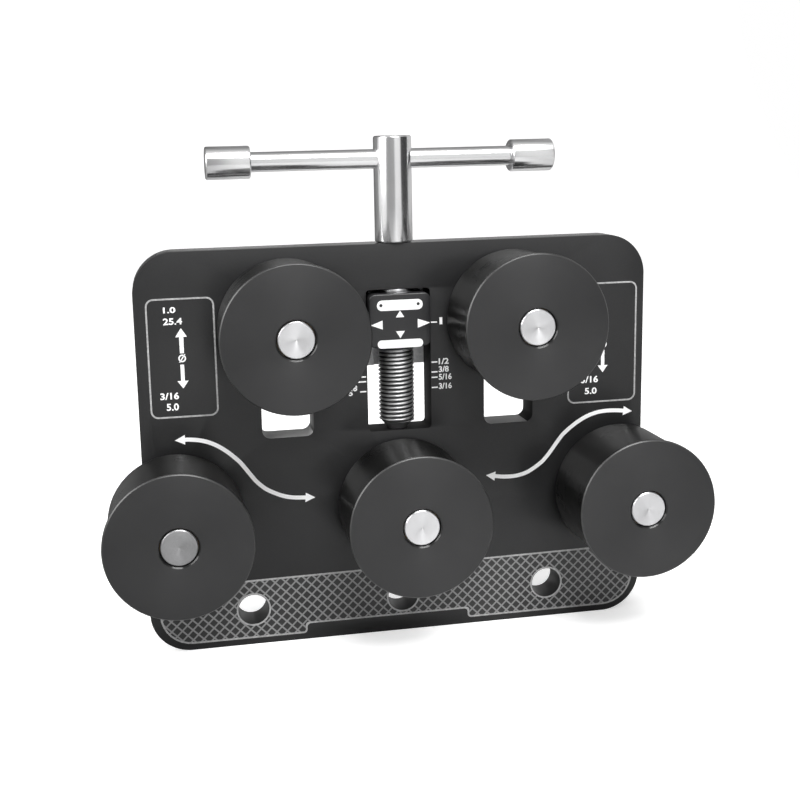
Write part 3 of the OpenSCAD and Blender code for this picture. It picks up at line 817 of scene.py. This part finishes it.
def frameOf(left, right, low, high, radius, line, count=8):  # a rounded box drawn as a line
    middle, width = (left + right) / 2, right - left
    return [roundedBox(width, low, high, radius, middle, count),
            roundedBox(width - 2 * line, low + line, high - line, radius - line, middle, count)]


def arrow(x, base, tip, half, stem, tail):
    return [(x - stem, tail), (x + stem, tail), (x + stem, base), (x + half, base), (x, tip),
            (x - half, base), (x - stem, base)]


def smoothLine(points, count=4):  # a rounded line through every given point
    ends = [points[0]] + list(points) + [points[-1]]
    line = []
    for i in range(1, len(ends) - 2):
        a, b, c, d = (Vector(ends[i + k]) for k in (-1, 0, 1, 2))
        for k in range(count):
            t = k / count
            line.append(b + t * (c - a) / 2 + t * t * (a - 2.5 * b + 2 * c - d / 2)
                        + t ** 3 * (-a + 3 * b - 3 * c + d) / 2)
    return line + [Vector(points[-1])]


def doubleArrow(points, width, head):  # a swept line with an arrow head at both ends, as one outline
    line = smoothLine(points)
    half, length = head
    sides = []
    for i, point in enumerate(line):
        along = (line[min(i + 1, len(line) - 1)] - line[max(i - 1, 0)]).normalized()
        sides.append((point, along, Vector((-along.y, along.x))))
    over = [point + across * width / 2 for point, along, across in sides]
    under = [point - across * width / 2 for point, along, across in reversed(sides)]
    heads = []
    for (point, along, across), way in ((sides[-1], 1), (sides[0], -1)):
        heads.append([point + way * across * half, point + way * along * length, point - way * across * half])
    return [tuple(point) for point in over + heads[0] + under + heads[1]]


def bandOutline(inset):  # the hatched band's edge, with the notch at its foot
    b = band
    left, right, low, top = b["left"] + inset, b["right"] - inset, b["low"] + inset, b["notchTop"] + inset
    notchLeft, notchRight = b["notch"][0] - inset, b["notch"][1] + inset
    highLeft, highRight = (height - inset for height in b["high"])
    return filleted([(left, low, b["corner"] - inset), (notchLeft, low, b["notchCorner"] - inset),
                     (notchLeft, top, b["notchCorner"]), (notchRight, top, b["notchCorner"]),
                     (notchRight, low, b["notchCorner"] - inset), (right, low, b["corner"] - inset),
                     (right, highRight, b["topCorner"]), (left, highLeft, b["topCorner"])])


def panelWhites(panel):
    x, drop = panel["centre"], panel["drop"]
    whites = [film([arrow(x + aside, base - drop, tip - drop, half, stem, tail - drop)])
              for aside, base, tip, half, stem, tail in panelMarks["arrows"]]
    rise, radii, count = panelMarks["circle"]
    whites.append(film([ring(x, rise - drop, radius, count) for radius in radii]))
    whites.append(film([[(x + aside, z - drop) for aside, z in panelMarks["slash"]]]))
    return whites + [label(*number) for number in panel["numbers"]]


def makePlateMarks():
    white, tick = [piece for panel in panels for piece in panelWhites(panel)], marks["tick"]
    for start, end, z, text, box in indexMarks:
        white.append(film([[(start, z - tick), (end, z - tick), (end, z + tick), (start, z + tick)]]))
        if text:
            white.append(label(text, *box))
    white += [film([doubleArrow(points, marks["stroke"], marks["arrowHead"])])
              for points in (leftSweep, rightSweep)]
    finishPiece("plate_marks_white", joined(white), "markWhite", "base")
    outer, steps = band["boltRing"], band["ringSteps"]
    inner = outer - band["ringLine"]
    inside = bandOutline(band["line"])
    grey = [film(frameOf(*panel["box"], panelMarks["corner"], marks["line"])) for panel in panels]
    grey.append(film([bandOutline(0), inside]))
    grey += [film([ring(x, 0, outer, steps), ring(x, 0, inner, steps)]) for x in bolts]
    finishPiece("plate_marks_grey", joined(grey), "markGrey", "base")
    finishPiece("plate_marks_hatch", film([inside] + [ring(x, 0, outer, steps) for x in bolts]), "hatchGrey",
                "base")


def makeBlockMarks():
    m, face = blockMarks, lowOf("nut_block").y
    bars = [[roundedBox(right - left, low, high, (high - low) / 2 - m["endGap"], (left + right) / 2, 8)]
            for left, right, low, high in m["bars"]]
    bars[0] += [ring(x, z, m["dot"], m["dotSteps"]) for x, z in m["dots"]]
    shapes = bars + [[point] for point in m["points"]]
    finishPiece("block_marks_white", joined([film(shape, face) for shape in shapes]), "markWhite", "carriage")


makePlateMarks()
makeBlockMarks()
print("marks done")

camera = {"place": (-72.823, -349.982, 142.991), "turns": (-0.1748, -0.1737, 0.0237), "lens": 51.85,
          "sensor": 36, "shift": (0.0525, -0.0707), "near": 10}


def setCamera():
    data = bpy.data.cameras.new("photoView")
    data.sensor_width = camera["sensor"]
    data.lens = camera["lens"]
    data.shift_x, data.shift_y = camera["shift"]
    data.clip_start = camera["near"] * mm
    view = addObject("photoView", data)
    around, tilt, roll = camera["turns"]
    turn = (Matrix.Rotation(around, 4, "Z") @ Matrix.Rotation(tilt, 4, "X")
            @ Matrix.Rotation(roll, 4, "Y") @ upright)
    view.matrix_world = at(*(Vector(camera["place"]) * mm)) @ turn
    bpy.context.scene.camera = view


setCamera()

# Studio: a white sweep, a white sky behind, a soft box overhead and one on the left.
# Reflections see pale walls with darker gaps, by the degrees round from straight in front.
backdrop = {"floor": -11.45, "apron": -120, "front": -750, "apronReach": 500, "reach": 900, "wall": 1500,
            "bend": 500, "bendSteps": 8, "height": 2600, "rough": 0.9, "seenColour": 0.82, "lift": 0.5,
            "span": (-0.2, 0.4),
            "tones": ((0.12, 0.24), (0.4, 0.6), (0.5, 0.55), (0.63, 0.4), (0.75, 0.5), (0.99, 0.5))}
sky = {"level": 0.5, "seenLevel": 1, "rise": (0.5, 0.72), "ceiling": (-0.1, 0.3, 0.85, 0.4),
       "walls": ((-179, 0.31), (-109, 0.31), (-106, 1.0), (-53, 1.0), (-49, 0.4), (0, 0.4), (4, 1.0),
                 (37, 1.0), (41, 0.06), (88, 0.06), (94, 0.72), (165, 0.72), (172, 0.31), (179, 0.31))}
lamps = [{"name": "overheadBox", "way": (0.1, -0.52, 0.82), "size": (560, 480), "watts": 12.0},
         {"name": "leftBox", "way": (-0.85, -0.27, 0.45), "size": (600, 600), "watts": 8.0}]
lampAim, lampDistance = (0, -20, 50), 950


def seenRays(tree):  # 1 for what the camera sees, straight or through glass
    path = addNode(tree, "LightPath").outputs
    return maths(tree, "MAXIMUM", path["Is Camera Ray"], path["Is Transmission Ray"])


def greyRamp(tree, source, tones):
    return toneRamp(tree, source, [(place, (level,) * 3) for place, level in tones])


def sweepWhite():  # only the object sees the floor darken to the sides
    b = backdrop
    material, tree, shader = newMaterial("sweepWhite")
    seen = seenRays(tree)
    split = addNode(tree, "SeparateXYZ", {"Vector": addNode(tree, "TexCoord").outputs["Object"]})
    tone = greyRamp(tree, ranged(tree, split.outputs["X"], b["span"]), b["tones"])
    feed(tree, shader, {"Roughness": b["rough"], "Base Color": mixed(tree, seen, tone, b["seenColour"]),
                        "Emission Color": (1, 1, 1, 1),
                        "Emission Strength": maths(tree, "MULTIPLY", seen, b["lift"])})
    return material


def addSweep():  # the floor runs back and bends up into the wall; a narrower apron lies in front
    b = backdrop
    bend, floor = b["bend"], b["floor"]
    foot, step = b["wall"] - bend, math.pi / 2 / b["bendSteps"]
    points = [(b["apron"], floor), (foot, floor)]
    points += [(foot + bend * math.sin(i * step), floor + bend * (1 - math.cos(i * step)))
               for i in range(1, b["bendSteps"] + 1)]
    points += [(b["wall"], b["height"])]
    bm = bmesh.new()
    for line, half in ((points, b["reach"]), ([(b["front"], floor), points[0]], b["apronReach"])):
        row = [bm.verts.new((-half, y, z)) for y, z in line]
        wires = [bm.edges.new(pair) for pair in zip(row, row[1:])]
        grown = bmesh.ops.extrude_edge_only(bm, edges=wires)
        bmesh.ops.translate(bm, vec=(2 * half, 0, 0),
                            verts=[v for v in grown["geom"] if isinstance(v, bmesh.types.BMVert)])
    bmesh.ops.recalc_face_normals(bm, faces=bm.faces)
    bmesh.ops.scale(bm, vec=(mm, mm, mm), verts=bm.verts)
    mesh = meshOf(bm, "studioSweep")
    mesh.shade_smooth()
    mesh.materials.append(sweepWhite())
    sweep = addObject("studioSweep", mesh)


def addSky():
    world = bpy.data.worlds.new("studioSky")
    world.use_nodes = True
    bpy.context.scene.world = world
    tree = world.node_tree
    split = addNode(tree, "SeparateXYZ", {"Vector": addNode(tree, "TexCoord").outputs["Generated"]})
    x, y, z = (split.outputs[axis] for axis in "XYZ")
    around = maths(tree, "ARCTAN2", x, maths(tree, "MULTIPLY", y, -1))
    turn = ranged(tree, around, (-math.pi, math.pi))
    walls = greyRamp(tree, turn, [(degrees / 360 + 0.5, level) for degrees, level in sky["walls"]])
    rise = ranged(tree, z, sky["rise"], interpolation_type="SMOOTHSTEP")
    reflected = mixed(tree, rise, walls, ranged(tree, y, sky["ceiling"]))
    glossy = addNode(tree, "LightPath").outputs["Is Glossy Ray"]
    unseen = mixed(tree, glossy, sky["level"], reflected)
    feed(tree, tree.nodes["Background"], {"Color": (1, 1, 1, 1),
                                          "Strength": mixed(tree, seenRays(tree), unseen, sky["seenLevel"])})


def addLamps():
    aim = Vector(lampAim)
    for lamp in lamps:
        data = bpy.data.lights.new(lamp["name"], "AREA")
        data.shape = "RECTANGLE"
        data.size, data.size_y = (side * mm for side in lamp["size"])
        data.energy = lamp["watts"]
        light = addObject(lamp["name"], data)
        spot = aim + Vector(lamp["way"]).normalized() * lampDistance
        light.matrix_world = at(*(spot * mm)) @ (spot - aim).to_track_quat("Z", "Y").to_matrix().to_4x4()


addSweep()
addSky()
addLamps()
bpy.context.scene.view_settings.view_transform = "Standard"
print("studio done")
